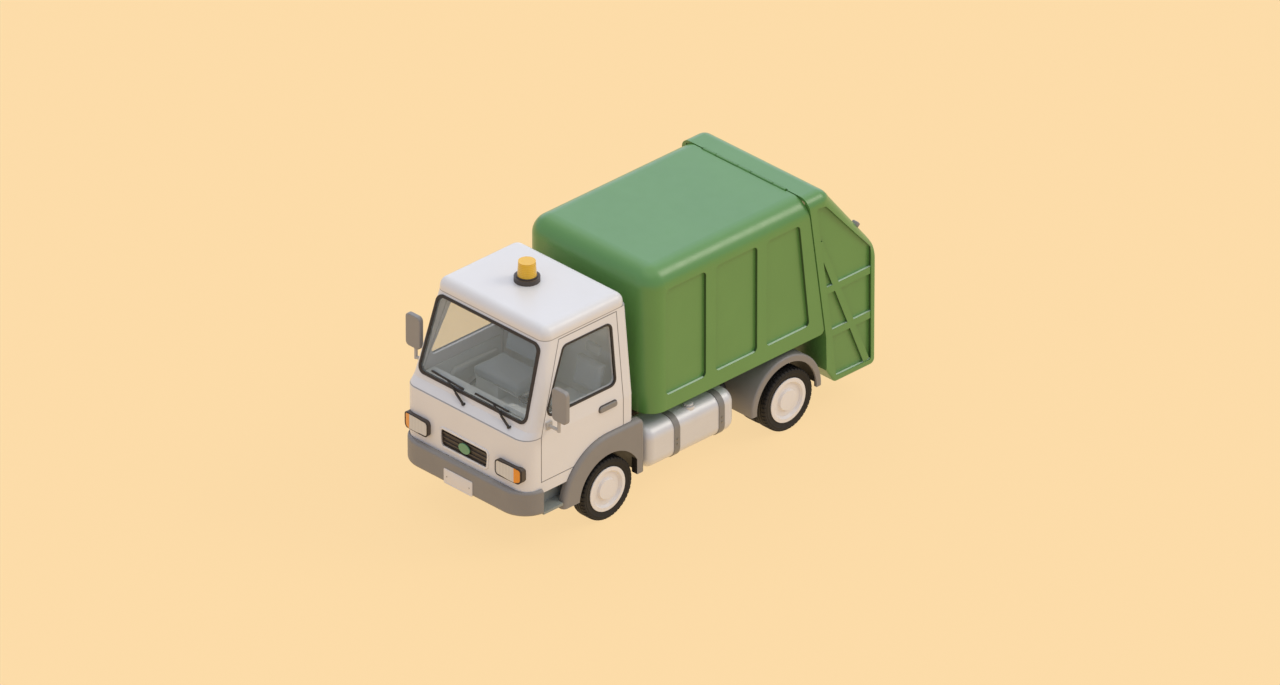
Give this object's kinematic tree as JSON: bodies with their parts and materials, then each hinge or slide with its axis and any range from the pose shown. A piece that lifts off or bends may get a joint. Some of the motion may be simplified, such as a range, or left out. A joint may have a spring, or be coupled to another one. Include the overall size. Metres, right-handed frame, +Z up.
{
  "type": "refuse collection truck",
  "caption": "Compact cab-over rear-loading refuse truck with opening doors, steered front wheels, lifting tailgate, packer and ejector plate.",
  "frame": {"origin": "on the ground, under the middle of the truck's length and width", "axes": "+X to the truck's left side, +Y to its rear, +Z up"},
  "size_m": [2.584, 5.535, 2.958],
  "materials": {
    "body_green": "satin",
    "cab_white": "satin",
    "grey_plastic": "matte",
    "grille_dark": "matte",
    "wiper_black": "matte",
    "frame_black": "satin",
    "engine_grey": "rough",
    "cab_trim": "matte",
    "seat_cloth": "woven",
    "glass": "clear",
    "rubber": "matte",
    "lamp_clear": "moulded",
    "lamp_amber": "gloss",
    "beacon_amber": "gloss",
    "lamp_red": "gloss",
    "plate_white": "satin",
    "tank_silver": "satin",
    "strap_grey": "satin",
    "tyre": "matte",
    "rim_white": "satin"
  },
  "bodies": {
    "chassis": {"chassis_frame": "frame_black", "tow_eyes": "frame_black", "front_axle": "frame_black", "rear_axle": "frame_black", "leaf_springs": "frame_black", "engine_block": "engine_grey", "propshaft": "engine_grey", "cab_front": "cab_white", "cab_back": "cab_white", "cab_roof": "cab_white", "cab_floor": "cab_trim", "windscreen": "glass", "windscreen_gasket": "rubber", "wipers": "wiper_black", "grille": "grille_dark", "grille_badge": "body_green", "headlamp_surrounds": "grille_dark", "headlamps": "lamp_clear", "indicators": "lamp_amber", "beacon_base": "grille_dark", "beacon_dome": "beacon_amber", "dashboard": "cab_trim", "seats": "seat_cloth", "steering_column": "cab_trim", "front_fenders": "grey_plastic", "front_bumper": "grey_plastic", "number_plate": "plate_white", "cab_steps": "grey_plastic", "fuel_tank": "tank_silver", "tank_straps": "strap_grey", "battery_box": "grey_plastic", "rear_mudguards": "grey_plastic", "refuse_body": "body_green"},
    "steering_wheel": {"steering_wheel": "wiper_black"},
    "left_door": {"door_left": "cab_white", "door_glass_left": "glass", "mirror_left": "grey_plastic", "door_handle_left": "grey_plastic"},
    "right_door": {"door_right": "cab_white", "door_glass_right": "glass", "mirror_right": "grey_plastic", "door_handle_right": "grey_plastic"},
    "left_knuckle": {"knuckle_left": "frame_black"},
    "right_knuckle": {"knuckle_right": "frame_black"},
    "front_left_wheel": {"front_left_tyre": "tyre", "front_left_rim": "rim_white"},
    "front_right_wheel": {"front_right_tyre": "tyre", "front_right_rim": "rim_white"},
    "rear_left_wheel": {"rear_left_tyre": "tyre", "rear_left_rim": "rim_white"},
    "rear_right_wheel": {"rear_right_tyre": "tyre", "rear_right_rim": "rim_white"},
    "ejector": {"ejector_plate": "body_green"},
    "tailgate": {"tailgate": "body_green", "tail_lamps": "lamp_red", "slope_lamps": "grey_plastic"},
    "packer_carrier": {"packer_carrier": "body_green"},
    "packer_blade": {"packer_blade": "body_green"}
  },
  "joints": [
    {"name": "left_door_hinge", "type": "hinge", "parent": "chassis", "child": "left_door", "pos_m": [0.99, -2.4395, 1.2], "axis": [0, 0, -1], "range_deg": [0, 65]},
    {"name": "right_door_hinge", "type": "hinge", "parent": "chassis", "child": "right_door", "pos_m": [-0.99, -2.4395, 1.2], "axis": [0, 0, 1], "range_deg": [0, 65]},
    {"name": "left_steering", "type": "hinge", "parent": "chassis", "child": "left_knuckle", "pos_m": [0.83, -1.4175, 0.385], "axis": [0, 0, 1], "range_deg": [-30, 30]},
    {"name": "right_steering", "type": "hinge", "parent": "chassis", "child": "right_knuckle", "pos_m": [-0.83, -1.4175, 0.385], "axis": [0, 0, 1], "range_deg": [-30, 30]},
    {"name": "steering_wheel_turn", "type": "hinge", "parent": "chassis", "child": "steering_wheel", "pos_m": [0.56, -2.1075, 1.56], "axis": [0, 0.4608, 0.8875], "range_deg": [-480, 480]},
    {"name": "front_left_wheel_spin", "type": "hinge", "parent": "left_knuckle", "child": "front_left_wheel", "pos_m": [0.9, -1.4175, 0.385], "axis": [1, 0, 0], "continuous": true},
    {"name": "front_right_wheel_spin", "type": "hinge", "parent": "right_knuckle", "child": "front_right_wheel", "pos_m": [-0.9, -1.4175, 0.385], "axis": [1, 0, 0], "continuous": true},
    {"name": "rear_left_wheel_spin", "type": "hinge", "parent": "chassis", "child": "rear_left_wheel", "pos_m": [0.9, 1.4225, 0.385], "axis": [1, 0, 0], "continuous": true},
    {"name": "rear_right_wheel_spin", "type": "hinge", "parent": "chassis", "child": "rear_right_wheel", "pos_m": [-0.9, 1.4225, 0.385], "axis": [1, 0, 0], "continuous": true},
    {"name": "ejector_slide", "type": "slide", "parent": "chassis", "child": "ejector", "axis": [0, 1, 0], "range_m": [0, 2.05]},
    {"name": "tailgate_hinge", "type": "hinge", "parent": "chassis", "child": "tailgate", "pos_m": [0, 1.7005, 2.862], "axis": [1, 0, 0], "range_deg": [0, 80]},
    {"name": "packer_carrier_slide", "type": "slide", "parent": "tailgate", "child": "packer_carrier", "axis": [0, 0.342, -0.9397], "range_m": [0, 0.62]},
    {"name": "packer_blade_hinge", "type": "hinge", "parent": "packer_carrier", "child": "packer_blade", "pos_m": [0, 2.1475, 1.82], "axis": [-1, 0, 0], "range_deg": [0, 50]}
  ],
  "couplings": [
    {"joint": "right_steering", "follows": "left_steering", "ratio": 1},
    {"joint": "steering_wheel_turn", "follows": "left_steering", "ratio": 16}
  ]
}
